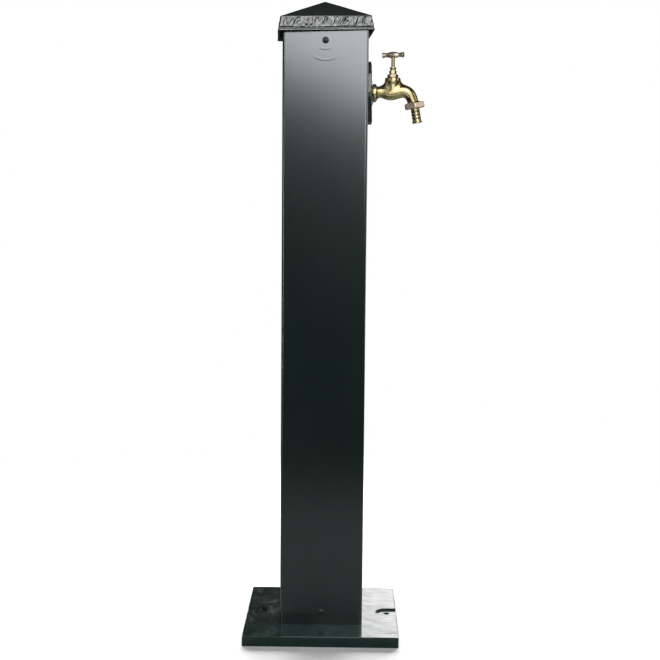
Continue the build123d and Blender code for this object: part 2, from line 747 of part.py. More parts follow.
barb_pitch = (tail_length - tail_neck) / tail_barbs
with BuildPart() as hose_tail:
    with BuildSketch(outlet_plane):
        with BuildLine():
            outline = [(tail_way / 2, tail_flange_high), (tail_flange_width / 2, tail_flange_high),
                       (tail_flange_width / 2, union_nut_lip), (tail_end_width / 2, union_nut_lip),
                       (tail_end_width / 2, 0), (tail_width / 2, 0)]
            for barb in range(tail_barbs):
                barb_top = -tail_neck - barb * barb_pitch
                barb_high = barb_top - barb_ramp_share * barb_pitch
                barb_low = barb_high - barb_land_share * barb_pitch
                outline += [(tail_width / 2, barb_top), (tail_barb_width / 2, barb_high),
                            (tail_barb_width / 2, barb_low),
                            (tail_width / 2, barb_low - barb_back_share * barb_pitch)]
            outline[-1] = (tail_end_width / 2, tail_end_rim - tail_length)
            outline += [(tail_end_width / 2, -tail_length), (tail_way / 2, -tail_length)]
            Polyline(*outline, close=True)
        make_face()
    revolve(axis=outlet_axis)

with BuildPart() as hose_washer:
    with BuildSketch(outlet_level(tail_flange_high)):
        Circle(tail_flange_width / 2)
        Circle(tail_way / 2, mode=Mode.SUBTRACT)
    extrude(amount=tail_washer_height)

pieces = {
    "base_plate": base_plate, "post_tube": post_tube, "top_cap": top_cap,
    "base_screws": base_screws, "cap_screws": cap_screws,
    "backplate": backplate, "backplate_screws": backplate_screws, "backplate_nuts": backplate_nuts,
    "tap_extension": tap_extension, "extension_locknut": extension_locknut,
    "pipe_elbow": pipe_elbow, "riser_pipe": riser_pipe, "inlet_socket": inlet_socket,
    "tap_body": tap_body, "bonnet": bonnet, "bonnet_gasket": bonnet_gasket,
    "gland_packing": gland_packing, "gland_nut": gland_nut, "spindle": spindle,
    "jumper_valve": jumper_valve, "valve_washer": valve_washer, "valve_nut": valve_nut,
    "tee_handle": tee_handle, "union_nut": union_nut, "hose_tail": hose_tail,
    "hose_washer": hose_washer,
}
for name, piece in pieces.items():
    piece.part.label = name
    export_step(piece.part, f"parts/{name}.step")
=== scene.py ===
"""Garden water fountain: the looks of a cast-iron and steel water post with a brass tap.

Metres, +Z up, the tap along +X; the photograph's side is -Y. Sizes are written in millimetres times mm.
"""
import json
import math

import bmesh
import bpy
import numpy as np
from mathutils import Matrix, Vector


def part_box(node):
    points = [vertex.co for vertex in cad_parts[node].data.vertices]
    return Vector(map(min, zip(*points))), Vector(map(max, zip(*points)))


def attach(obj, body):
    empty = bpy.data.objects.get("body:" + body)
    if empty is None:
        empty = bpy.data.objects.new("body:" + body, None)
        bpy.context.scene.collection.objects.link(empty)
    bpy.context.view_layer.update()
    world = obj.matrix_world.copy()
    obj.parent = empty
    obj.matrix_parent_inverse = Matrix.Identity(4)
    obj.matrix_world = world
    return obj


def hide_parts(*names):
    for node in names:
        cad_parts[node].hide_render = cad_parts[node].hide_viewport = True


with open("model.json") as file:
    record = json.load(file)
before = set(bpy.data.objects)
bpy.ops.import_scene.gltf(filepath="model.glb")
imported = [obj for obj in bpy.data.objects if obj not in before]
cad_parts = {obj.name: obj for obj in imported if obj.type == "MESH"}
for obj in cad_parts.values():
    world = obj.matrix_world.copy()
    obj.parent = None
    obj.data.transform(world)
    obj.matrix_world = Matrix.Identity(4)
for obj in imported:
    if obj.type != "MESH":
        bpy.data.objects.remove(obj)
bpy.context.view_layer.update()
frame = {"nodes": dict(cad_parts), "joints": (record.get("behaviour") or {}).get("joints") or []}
mm = 0.001

# Camera: where the photographer stood, 2 m in front of the post and level with its upper third.
# Its place and angles were fitted to some thirty edges of the photograph, to about a pixel.
camera_place = Vector((35.2, -1991.1, 709.3)) * mm
camera_yaw, camera_pitch, camera_roll = (math.radians(angle) for angle in (-0.738, -6.60, 0.50))
camera = bpy.data.objects.new("camera", bpy.data.cameras.new("camera"))
camera.data.sensor_width = 36
camera.data.lens = 68.55
camera.matrix_world = (
    Matrix.Translation(camera_place)
    @ Matrix.Rotation(-camera_yaw, 4, "Z")
    @ Matrix.Rotation(math.pi / 2 + camera_pitch, 4, "X")
    @ Matrix.Rotation(camera_roll, 4, "Z")
)
bpy.context.scene.collection.objects.link(camera)
bpy.context.scene.camera = camera
bpy.context.scene.view_settings.view_transform = "Standard"


# Room: a pale floor that fades out round the post, a white surround, and soft lamps that only light.
# The floor has its own lamps behind and in front, and shows dark in reflections, as a studio table
# with black cards does.
floor_size = 4
floor_cells = 20
floor_reach = 0.75
floor_fade = 0.55
floor_tone = (0.86, 0.86, 0.86, 1)
floor_mirrored = (0.120, 0.122, 0.120, 1)
surround_white = 1.0
surround_dim = 0.022
lamp_boxes = {
    # name: (group that it lights, place, target, roll in degrees, width, height, radiance)
    "paint_softbox": ("paint", (0.18, -1.576, 1.664), (0.18, 0.0, 0.833), -25, 2.1, 1.5, 3.15),
    "cap_softbox": ("cap", (0.10, -1.55, 1.85), (0.0, 0.0, 0.97), 0, 1.9, 1.4, 2.5),
    "cap_glint": ("cap", (0.05, -1.50, 1.88), (0.0, 0.0, 0.97), 0, 0.8, 0.5, 3.6),
    "sand_glint": ("paint", (-0.7, 1.3, 1.9), (-0.09, 0.0, 0.0), 0, 0.35, 0.35, 26.0),
    "right_fill": ("paint", (2.0, -1.2, 1.75), (0.0, 0.0, 0.9), 0, 2.2, 1.6, 1.8),
    "brass_softbox": ("brass", (0.55, -1.60, 2.05), (0.10, 0.0, 0.85), 0, 1.5, 1.3, 1.9),
    "brass_front_card": ("brass", (0.40, -2.30, 1.00), (0.10, 0.0, 0.85), 0, 2.0, 1.5, 1.05),
    "brass_low_card": ("brass", (0.20, -1.20, -0.60), (0.10, 0.0, 0.85), 0, 2.4, 1.4, 0.80),
    "rose_card": ("rose", (0.40, -1.30, 0.95), (0.12, 0.0, 0.85), 0, 4.2, 2.4, 0.62),
    "brass_right_card": ("brass", (1.80, -0.30, 1.5), (0.10, 0.0, 0.85), 0, 1.0, 0.8, 0.60),
    "top_softbox": ("object", (0.0, -0.6, 3.4), (0.0, 0.0, 0.0), 0, 2.0, 1.2, 1.2),
    "rear_panel": ("object", (1.88, 8.0, 2.95), (0.1, 0.0, 0.1), 0, 3.8, 1.9, 3.1),
    "right_panel": ("object", (2.6, 1.5, 0.9), (0.0, 0.0, 0.75), 0, 3.6, 1.7, 0.7),
    "left_strip": ("object", (-1.85, -2.45, 1.0), (0.0, 0.0, 0.6), 0, 0.25, 2.2, 7.0),
    "floor_lamp": ("floor", (0.0, 5.0, 2.2), (0.0, 0.0, 0.0), 0, 8.0, 4.0, 15.0),
    "floor_fill": ("floor", (0.0, -1.8, 2.6), (0.0, 0.0, 0.0), 0, 3.0, 2.0, 2.2),
}


class Wire:
    """A shader socket that can be reckoned with: an operator adds the Math node that it stands for."""

    def __init__(self, tree, socket):
        self.tree = tree
        self.socket = socket

    def node(self, kind, settings=None, sockets=None, output=0):
        """Another node of the same tree: its settings first, then its sockets' values or links."""
        made = self.tree.nodes.new("ShaderNode" + kind)
        for name, value in (settings or {}).items():
            setattr(made, name, value)
        for name, value in (sockets or {}).items():
            if isinstance(value, Wire):
                self.tree.links.new(value.socket, made.inputs[name])
            else:
                made.inputs[name].default_value = value
        return Wire(self.tree, made.outputs[output])

    def maths(self, operation, *values):
        """A Math node, its numbers or wires in the order that the operation takes them."""
        return self.node("Math", {"operation": operation}, dict(enumerate(values)))

    def __add__(self, other):
        return self.maths("ADD", self, other)

    __radd__ = __add__

    def __sub__(self, other):
        return self.maths("SUBTRACT", self, other)

    def __rsub__(self, other):
        return self.maths("SUBTRACT", other, self)

    def __mul__(self, other):
        return self.maths("MULTIPLY", self, other)

    __rmul__ = __mul__


world = bpy.data.worlds.new("surround")
world.use_nodes = True
bpy.context.scene.world = world
backdrop = world.node_tree.nodes["Background"]
backdrop.inputs["Color"].default_value = (1, 1, 1, 1)
seen_straight = Wire(world.node_tree, None).node("LightPath")
surround_strength = seen_straight * (surround_white - surround_dim) + surround_dim
world.node_tree.links.new(surround_strength.socket, backdrop.inputs["Strength"])

floor_material = bpy.data.materials.new("pale_floor")
floor_material.use_nodes = True
floor_tree = floor_material.node_tree
floor_here = Wire(floor_tree, floor_tree.nodes.new("ShaderNodeTexCoord").outputs["Object"])
floor_far = floor_here.node("VectorMath", {"operation": "LENGTH"}, {0: floor_here}, output=1)
floor_faded = floor_here.node("MapRange", None, {
    "Value": floor_far, "From Min": floor_reach, "From Max": floor_reach + floor_fade,
})
floor_seen = floor_here.node("LightPath")
floor_paper = floor_here.node("BsdfDiffuse", None, {"Color": floor_tone})
floor_dark = floor_here.node("BsdfDiffuse", None, {"Color": floor_mirrored})
floor_shown = floor_here.node("MixShader", None, {0: floor_seen, 1: floor_dark, 2: floor_paper})
floor_gone = floor_here.node("BsdfTransparent")
floor_mixed = floor_here.node("MixShader", None, {0: floor_faded, 1: floor_shown, 2: floor_gone})
floor_tree.links.new(floor_mixed.socket, floor_tree.nodes["Material Output"].inputs["Surface"])
bpy.ops.mesh.primitive_grid_add(x_subdivisions=floor_cells, y_subdivisions=floor_cells, size=floor_size)
floor = bpy.context.active_object
floor.name = "floor"
floor.data.materials.append(floor_material)

# Each group of lamps has a collection. One with an INCLUDE in it lights those pieces alone. One with only
# EXCLUDE lights all others: paint all but the floor, cap and brass, and object all but floor and brass.
lamp_groups = ("paint", "cap", "brass", "rose", "object", "floor")
lit_pieces = {name: bpy.data.collections.new("light_on_" + name) for name in lamp_groups}


def light_link(group, piece, state):
    """Adds a piece to a group's collection, as reached by its lamps (INCLUDE) or kept dark (EXCLUDE)."""
    lit_pieces[group].objects.link(piece)
    lit_pieces[group].collection_objects[-1].light_linking.link_state = state


light_link("floor", floor, "INCLUDE")
light_link("object", floor, "EXCLUDE")
light_link("paint", floor, "EXCLUDE")

for name, (group, place, target, roll, width, height, radiance) in lamp_boxes.items():
    lamp = bpy.data.lights.new(name, "AREA")
    lamp.shape = "RECTANGLE"
    lamp.size = width
    lamp.size_y = height
    lamp.energy = radiance * math.pi * width * height
    lamp_object = bpy.data.objects.new(name, lamp)
    facing = (Vector(target) - Vector(place)).to_track_quat("-Z", "Y").to_matrix().to_4x4()
    rolled = Matrix.Rotation(math.radians(roll), 4, "Z")
    lamp_object.matrix_world = Matrix.Translation(place) @ facing @ rolled
    lamp_object.visible_camera = False
    lamp_object.light_linking.receiver_collection = lit_pieces[group]
    bpy.context.scene.collection.objects.link(lamp_object)


# Base plate: a square iron casting with rough, wavy skin under glossy near-black green paint.
# A round-ended recess, open to the edge, holds each of the two anchor holes. The post stands on it
# and is screwed to its spigot.
iron_green = (0.0100, 0.0180, 0.0160, 1)
iron_dust = (0.030, 0.034, 0.032, 1)
# Near black: mixed over the cap's roof as a painted shade, darker than its paint.
painted_shade_black = (0.001, 0.002, 0.002, 1)
base_green = (0.0100, 0.0240, 0.0205, 1)
pooled_light = 1.5
pit_depth = 0.12 * mm
sand_height = 9.0
sand_edge = -60 * mm
sand_fade = 25 * mm
dull_and_shade_fade = 2 * mm
base_octree = 8
octree_share = 0.62
base_crease = math.radians(40)
merge_distance = 0.001 * mm
# The skin's waves are each a size, a height and a seed. They start a little above the ground.
base_waves = ((60 * mm, 0.35 * mm, 3), (15 * mm, 0.18 * mm, 5), (5 * mm, 0.06 * mm, 9))
rake_waves = ((2.6 * mm, 0.05 * mm, 11),)
rake_squeeze = 0.25
skin_share = 0.8
skin_from = 1.5 * mm
skin_ease = 3 * mm
# Primes that scramble whole numbers into random-looking ones.
prime_x, prime_y, prime_z, prime_seed, prime_stir = 73856093, 19349663, 83492791, 15485863, 1274126177


def lumps(points, size, seed):
    """Smooth random lumps, -1 to 1: random heights at the corners of cubes of a size, eased between.
    A corner's height is the low bits of its three whole numbers and the seed, multiplied by primes."""
    cell = points / size
    corner = np.floor(cell).astype(np.int64)
    part = cell - corner
    eased = part * part * (3 - 2 * part)
    total = np.zeros(len(points))
    for step in np.ndindex(2, 2, 2):
        at = corner + step
        mixed = at[:, 0] * prime_x ^ at[:, 1] * prime_y ^ at[:, 2] * prime_z ^ seed * prime_seed
        mixed = (mixed ^ (mixed >> 13)) * prime_stir & 0x7FFFFFFF
        share = np.prod(np.where(np.array(step) == 1, eased, 1 - eased), axis=1)
        total += share * ((mixed ^ (mixed >> 11)) & 0xFFFF) / (0xFFFF / 2)
    return total - 1


def relief(points, waves):
    """The sum of lumps of several sizes. Each wave is a size, a height and a seed."""
    return sum(lumps(points, size, seed) * height for size, height, seed in waves)


def casting(node, name, rounds, voxel=None, sharp_depth=None):
    """A node's merged copy, rebuilt in even cells and smoothed over a number of rounds. The cells are
    voxels of a size, which round its edges off, or those of an octree of a depth, which keep them."""
    rough = bpy.data.objects.new(name + "_rough", frame["nodes"][node].data.copy())
    bpy.context.scene.collection.objects.link(rough)
    merging = bmesh.new()
    merging.from_mesh(rough.data)
    bmesh.ops.remove_doubles(merging, verts=merging.verts, dist=merge_distance)
    merging.to_mesh(rough.data)
    merging.free()
    remesh = rough.modifiers.new("remesh", "REMESH")
    if sharp_depth:
        remesh.mode = "SHARP"
        remesh.octree_depth = sharp_depth
        remesh.scale = octree_share
    else:
        remesh.mode = "VOXEL"
        remesh.voxel_size = voxel
    smooth = rough.modifiers.new("smooth", "SMOOTH")
    smooth.factor = 0.5
    smooth.iterations = rounds
    mesh = bpy.data.meshes.new_from_object(rough.evaluated_get(bpy.context.evaluated_depsgraph_get()))
    bpy.data.objects.remove(rough)
    mesh.name = name
    mesh.materials.clear()
    mesh.shade_smooth()
    piece = bpy.data.objects.new(name, mesh)
    bpy.context.scene.collection.objects.link(piece)
    return piece


def points_of(piece):
    """A mesh's points and outward normals as two arrays."""
    count = len(piece.data.vertices)
    points, normals = np.empty(count * 3), np.empty(count * 3)
    piece.data.vertices.foreach_get("co", points)
    piece.data.vertex_normals.foreach_get("vector", normals)
    return points.reshape(-1, 3), normals.reshape(-1, 3)


def set_points(piece, points):
    """Moves a mesh's points to the places in an array."""
    piece.data.vertices.foreach_set("co", points.ravel())
    piece.data.update()


def eased_step(values, start, run):
    """0 up to a start, 1 from a run further on, and a straight slope between."""
    return np.clip((values - start) / run, 0, 1)


def new_finish(name, **constants):
    """A material whose surface shader holds the given constants; also its tree's place on the object."""
    material = bpy.data.materials.new(name)
    material.use_nodes = True
    shader = material.node_tree.nodes["Principled BSDF"]
    for socket, value in constants.items():
        shader.inputs[socket.replace("_", " ")].default_value = value
    here = Wire(material.node_tree, material.node_tree.nodes.new("ShaderNodeTexCoord").outputs["Object"])
    return material, here


def drive(material, **wires):
    """Links what changes over the surface to the shader's sockets."""
    shader = material.node_tree.nodes["Principled BSDF"]
    for socket, wire in wires.items():
        material.node_tree.links.new(wire.socket, shader.inputs[socket.replace("_", " ")])


def noise(here, size, detail=2.0, rough=0.5, stretch=None):
    """Fractal noise, 0 to 1, with lumps of a size in metres, longer along X, Y, Z by a stretch."""
    place = here
    if stretch:
        place = here.node("VectorMath", {"operation": "DIVIDE"}, {0: here, 1: stretch})
    return here.node("TexNoise", None, {
        "Vector": place, "Scale": 1 / size, "Detail": detail, "Roughness": rough,
    })


def between(factor, first, second):
    """Two colours, mixed by a factor."""
    return factor.node("Mix", {"data_type": "RGBA"}, {0: factor, 6: first, 7: second}, output=2)


def spread(factor, low, high):
    """Stretches a factor so that low becomes 0 and high becomes 1, held within them."""
    return factor.node("MapRange", None, {"Value": factor, "From Min": low, "From Max": high})


def bump(height, strength, depth):
    """A normal that leans as a height would, where a height of 1 stands for a depth in metres."""
    return height.node("Bump", None, {"Strength": strength, "Distance": depth, "Height": height})


def cast_paint(name, tone, pitted, depth=pit_depth, sanded_left_of=None, dull_and_shaded_above=math.inf):
    """Glossy paint pooled over a rough casting: fine pits, uneven gloss and a little dust in places.
    Left of a plane across X, sand that stuck in the skin stands up in patches. Above a height, if
    one is given, the paint is dull and its colour is painted darker, a painted shade."""
    material, here = new_finish(name, IOR=1.65, Coat_Weight=0.6, Coat_Roughness=0.08)
    cloud = noise(here, 30 * mm, detail=4.0, rough=0.6)
    grit = noise(here, 2.4 * mm, detail=3.0, rough=0.6)
    skin = grit * (spread(cloud, 0.40, 0.62) * 0.8 + 0.2)
    if sanded_left_of:
        across = here.node("SeparateXYZ", None, {0: here})
        left = spread(across, sanded_left_of, sanded_left_of - sand_fade)
        skin = noise(here, 1.8 * mm) * spread(cloud, 0.50, 0.60) * left * sand_height + skin
    pooled = tuple(pooled_light * value for value in tone[:3]) + (1,)
    paint = between(spread(cloud, 0.35, 0.7), tone, pooled)
    colour = between(spread(grit, 0.62, 0.8) * spread(cloud, 0.5, 0.75), paint, iron_dust)
    gloss = spread(cloud, 0.2, 0.8) * 0.14 + grit * 0.12 + 0.08
    if dull_and_shaded_above < math.inf:
        # Above the height the colour is painted darker towards black, a painted shade, and the paint is made
        # dull and loses its coat.
        height = here.node("SeparateXYZ", None, {0: here}, output=2)
        dull = spread(height, dull_and_shaded_above, dull_and_shaded_above + dull_and_shade_fade)
        colour = between(dull * 0.6, colour, painted_shade_black)
        gloss = dull * 0.36 + gloss
        drive(material, Coat_Weight=0.6 - dull * 0.6)
    drive(material, Base_Color=colour, Roughness=gloss, Normal=bump(skin, pitted, depth))
    return material


base_paint = cast_paint("base_iron_paint", base_green, pitted=0.3, sanded_left_of=sand_edge)
base_piece = casting("base_plate", "base_casting", rounds=0, sharp_depth=base_octree)
base_points, base_normals = points_of(base_piece)
raked = base_points.copy()
raked[:, 0] = (base_points[:, 0] + base_points[:, 1]) * rake_squeeze
base_skin = (relief(base_points, base_waves) + relief(raked, rake_waves)) * skin_share
base_skin *= eased_step(base_points[:, 2], skin_from, skin_ease)
set_points(base_piece, base_points + base_normals * base_skin[:, None])
base_piece.data.set_sharp_from_angle(angle=base_crease)
base_piece.data.materials.append(base_paint)
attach(base_piece, "fountain")
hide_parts("base_plate")


# Post: square steel tube with rounded corners, powder-coated in satin near-black green.
# The coat has a faint orange peel, worn clouds, and two drip rings under the top screw.
post_green = (0.0015, 0.0095, 0.0075, 1)
post_worn = (0.0030, 0.0115, 0.0095, 1)
post_tint = (0.87, 0.99, 1.0, 1)
screw_low, screw_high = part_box("cap_screws")
screw_place = (screw_low + screw_high) / 2
drip_radii = (13 * mm, 29 * mm)
drip_inner = 0.4 * mm
drip_outer = 2.2 * mm
drip_from, drip_full = 0.75, 0.92


def finish_solids(material, *nodes):
    """Gives a material to solids that are shown as they are."""
    for node in nodes:
        frame["nodes"][node].material_slots[0].material = material


post_finish, here = new_finish(
    "satin_green_coat", IOR=2.0, Specular_Tint=post_tint, Coat_Weight=1.0, Coat_Roughness=0.20, Coat_IOR=1.7
)
peel = noise(here, 1.6 * mm)
cloud = noise(here, 70 * mm, detail=3.0, stretch=(1, 1, 2.5))
scuff = noise(here, 6 * mm, detail=5.0, rough=0.65, stretch=(1, 1, 6))
height_wire = here.node("SeparateXYZ", None, {0: here}, output=2)
screw_offset = here.node("VectorMath", {"operation": "SUBTRACT"}, {
    0: here, 1: (screw_place.x, 0, screw_place.z),
})
face_offset = here.node("VectorMath", {"operation": "MULTIPLY"}, {0: screw_offset, 1: (1, 0, 1)})
from_screw = here.node("VectorMath", {"operation": "LENGTH"}, {0: face_offset}, output=1)
rings = 0.0
for radius in drip_radii:
    below_screw = spread(height_wire, screw_place.z - drip_from * radius, screw_place.z - drip_full * radius)
    off_ring = from_screw - radius
    band = 1 - spread(off_ring.maths("ABSOLUTE", off_ring), drip_inner, drip_outer)
    rings = band * below_screw + rings
drive(
    post_finish,
    Base_Color=between(spread(cloud * 0.6 + scuff * 0.4, 0.42, 0.62), post_green, post_worn),
    Roughness=cloud * 0.06 + scuff * 0.04 + rings * 0.06 + 0.135,
    Normal=bump(peel * 0.5 + cloud * 2.0 + rings * 6.0, 0.35, 0.05 * mm),
)
finish_solids(post_finish, "post_tube")


# Cap: an iron casting whose fascia was hammered or left rough from the sand, with a smooth pyramid roof.
# It hangs over the post's end, and its square spigot goes down inside the tube. It sits a little askew,
# as in the photograph: turned, tilted to the left and shifted, with its tip a little to the right.
cap_low, cap_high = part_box("top_cap")
cap_half = (cap_high.x - cap_low.x) / 2
cap_fascia = 22.3 * mm
cap_lean = 4.8 * mm
cap_wall = 5 * mm
cap_wall_slope = 2 * mm
cap_corner = 2.5 * mm
cap_drop = 13.6 * mm
cap_spigot_half = 61.7 * mm
cap_spigot_wall = 6 * mm
cap_spigot_length = 40 * mm
cap_tip = 0.8 * mm
cap_tip_height = 0.2 * mm
cap_roof_extra = 1.2 * mm
cap_dull_and_shaded_below_edge = 1.5 * mm
cap_pit_depth = 0.2 * mm
cap_columns = 720
fascia_row = 0.9 * mm
plain_row = 2.6 * mm
cap_turn = math.radians(3.2)
cap_tilt = math.radians(1.2)
cap_shift = -3.0 * mm
cap_tip_shift = 1.6 * mm
face_margin = 1 * mm
relief_below, relief_in, relief_out = 0.05, 12, 9
chip_slant = (-0.35, -0.35)
chip_squeeze = 0.40
chip_depth = 0.55
chip_full_from, chip_ease, chip_least = 0.20, 9, 0.35
chip_waves = ((2.0 * mm, 0.60, 21), (4.6 * mm, 0.55, 22))
grain_waves = ((1.3 * mm, 0.06, 23),)
groove_level = 0.22
groove_waves = ((30 * mm, 0.05, 24),)
groove_squash = (1, 1, 0.02)
groove_width = 0.050
groove_depth = 0.9
swell_waves = ((22 * mm, 0.15 * mm, 25),)
pole_merge = 0.0005 * mm
slack = 0.5 * mm


def resample(corners, spacing):
    """A polyline cut into runs of about a spacing, one for all or one for each side; corners are kept."""
    corners = np.array(corners, float)
    pieces = [corners[:1]]
    for start, end, run in zip(corners[:-1], corners[1:], np.broadcast_to(spacing, len(corners) - 1)):
        steps = max(1, int(round(np.linalg.norm(end - start) / run)))
        share = np.arange(1, steps + 1)[:, None] / steps
        pieces.append(start + (end - start) * share)
    return np.concatenate(pieces)


def eased_corners(profile, steps=6):
    """An outline from rows of two coordinates and a corner's radius. Each corner becomes a quadratic
    curve between points a radius to its sides, or less where a side is short."""
    corners, radii = profile[:, :2], profile[:, 2]
    outline = [corners[:1]]
    for before, corner, after, radius in zip(corners[:-2], corners[1:-1], corners[2:], radii[1:-1]):
        back, on = before - corner, after - corner
        reach = min(radius, np.linalg.norm(back) * 0.49, np.linalg.norm(on) * 0.49)
        if reach <= 0:
            outline.append(corner[None])
            continue
        first = corner + back / np.linalg.norm(back) * reach
        last = corner + on / np.linalg.norm(on) * reach
        share = np.linspace(0, 1, steps)[:, None]
        outline.append(first * (1 - share) ** 2 + 2 * corner * share * (1 - share) + last * share ** 2)
    outline.append(corners[-1:])
    return np.concatenate(outline)


def grid_piece(name, grid, material):
    """A mesh from a grid of points, rows by columns: each four neighbours make a face, the columns run
    round and close, and rows that shrink to a point close its ends."""
    rows, columns = grid.shape[:2]
    index = np.arange(rows * columns).reshape(rows, columns)
    index = np.concatenate([index, index[:, :1]], axis=1)
    quads = np.stack([index[:-1, :-1], index[:-1, 1:], index[1:, 1:], index[1:, :-1]], axis=-1)
    mesh = bpy.data.meshes.new(name)
    mesh.from_pydata(grid.reshape(-1, 3), [], quads.reshape(-1, 4))
    merging = bmesh.new()
    merging.from_mesh(mesh)
    bmesh.ops.remove_doubles(merging, verts=merging.verts, dist=pole_merge)
    bmesh.ops.recalc_face_normals(merging, faces=merging.faces)
    merging.to_mesh(mesh)
    merging.free()
    mesh.shade_smooth()
    mesh.materials.append(material)
    piece = bpy.data.objects.new(name, mesh)
    bpy.context.scene.collection.objects.link(piece)
    return piece


def square_ring(columns, half, corner):
    """Directions round a square, as points on a square of unit half width with rounded corners: a point
    of the square is drawn in to a smaller square, and set a corner's radius out from it again."""
    side = np.linspace(-1, 1, columns // 4, endpoint=False)
    edge = np.ones_like(side)
    sides = ((side, -edge), (edge, side), (-side, edge), (-edge, -side))
    run = np.concatenate([np.stack(points, axis=1) for points in sides])
    inner = 1 - corner / half
    core = np.clip(run, -inner, inner)
    out = run - core
    length = np.maximum(np.linalg.norm(out, axis=1), 1e-9)[:, None]
    return core + out / length * np.minimum(length, 1 - inner)


spigot_bottom = cap_low.z
post_rim = spigot_bottom + cap_spigot_length
fascia_bottom = post_rim - cap_drop
fascia_top = fascia_bottom + cap_fascia
roof_top = cap_high.z + cap_roof_extra
cap_profile = np.array([
    # distance from the axis, height, radius of the corner
    (cap_spigot_half - cap_spigot_wall, spigot_bottom, 0),
    (cap_spigot_half, spigot_bottom, 0.6 * mm),
    (cap_spigot_half, post_rim, 0),
    (cap_half - cap_wall - cap_wall_slope, post_rim, 0),
    (cap_half - cap_wall, fascia_bottom, 1.2 * mm),
    (cap_half, fascia_bottom, 1.8 * mm),
    (cap_half - cap_lean, fascia_top, 1.6 * mm),
    (cap_tip, roof_top - cap_tip_height, 5 * mm),
    (0, roof_top, 0),
])
cap_outline = eased_corners(cap_profile)
on_face = np.minimum(cap_outline[:-1, 0], cap_outline[1:, 0]) > cap_half - cap_lean - face_margin
cap_rows = resample(cap_outline, np.where(on_face, fascia_row, plain_row))
ring = square_ring(cap_columns, cap_half, cap_corner)
cap_heights = np.repeat(cap_rows[:, None, 1:], len(ring), axis=1)
cap_grid = np.concatenate([cap_rows[:, None, :1] * ring[None], cap_heights], axis=2)
# The cap's roof, from just under the fascia's top, gets the painted shade and is made dull.
dull_and_shaded_from = fascia_top - cap_dull_and_shaded_below_edge
cap_paint = cast_paint("cap_iron_paint", iron_green, pitted=0.6, depth=cap_pit_depth, dull_and_shaded_above=dull_and_shaded_from)
cap_piece = grid_piece("cap_casting", cap_grid, cap_paint)
cap_points, cap_normals = points_of(cap_piece)

# The fascia's relief, in millimetres: slanting chips above a wandering groove, and a third as deep below
# it. Level runs from 0 at the fascia's foot to 1 at its top, where the relief fades out.
cap_reach = np.abs(cap_points[:, :2]).max(axis=1)
level = (cap_points[:, 2] - fascia_bottom) / cap_fascia
on_fascia = np.clip((level + relief_below) * relief_in, 0, 1) * np.clip((1.0 - level) * relief_out, 0, 1)
outside = cap_reach > cap_half - cap_lean - 2 * face_margin
slanted = cap_points.copy()
slanted[:, :2] += cap_points[:, 2:] * chip_slant
slanted[:, 2] = cap_points[:, 2] * chip_squeeze
chips = relief(slanted, chip_waves) + relief(cap_points, grain_waves)
chips *= np.clip((level - chip_full_from) * chip_ease, chip_least, 1)
groove_here = groove_level + relief(cap_points * groove_squash, groove_waves)
groove = np.exp(-(((level - groove_here) / groove_width) ** 2)) * groove_depth
hammered = (chips - groove - chip_depth) * mm * on_fascia * outside
swell = relief(cap_points, swell_waves) * (cap_points[:, 2] > fascia_bottom - face_margin)
cap_points += cap_normals * (hammered + swell)[:, None]

# All of it but the spigot is turned, tilted and shifted round the post's rim.
outside_post = np.abs(cap_points[:, :2]).max(axis=1) > cap_spigot_half + slack
loose = outside_post | (cap_points[:, 2] > post_rim - slack)
askew = np.array(Matrix.Rotation(cap_turn, 3, "Z") @ Matrix.Rotation(-cap_tilt, 3, "Y"))
pivot = np.array((0, 0, post_rim))
turned_points = (cap_points - pivot) @ askew.T + pivot + np.array((cap_shift, 0, 0))
cap_points[loose] = turned_points[loose]
cap_points[:, 0] += cap_tip_shift * eased_step(cap_points[:, 2], fascia_top, roof_top - fascia_top)
set_points(cap_piece, cap_points)
light_link("cap", cap_piece, "INCLUDE")
light_link("paint", cap_piece, "EXCLUDE")
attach(cap_piece, "fountain")
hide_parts("top_cap")


# Screws of the base and the cap: black round heads with a cross recess, driven through the post's wall
# into the two spigots. One of each pair shows in front; the other is behind.
screw_black = (0.003, 0.007, 0.007, 1)
screw_worn = (0.010, 0.017, 0.017, 1)
screw_shank = 5 * mm
screw_length = 11 * mm
screw_height = 3 * mm
head_columns = 96
head_rows = 40
rim_share = 0.30
slot_depth = 0.45
cross_along = (0.8, 0, 0.6)

screw_material, here = new_finish("black_screw", IOR=1.40, Coat_Weight=0.55, Coat_Roughness=0.08)
wear = noise(here, 1.2 * mm, detail=3.0, rough=0.6)
drive(
    screw_material,
    Base_Color=between(spread(wear, 0.5, 0.75), screw_black, screw_worn),
    Roughness=wear * 0.2 + 0.38,
    Normal=bump(wear, 0.3, 0.05 * mm),
)


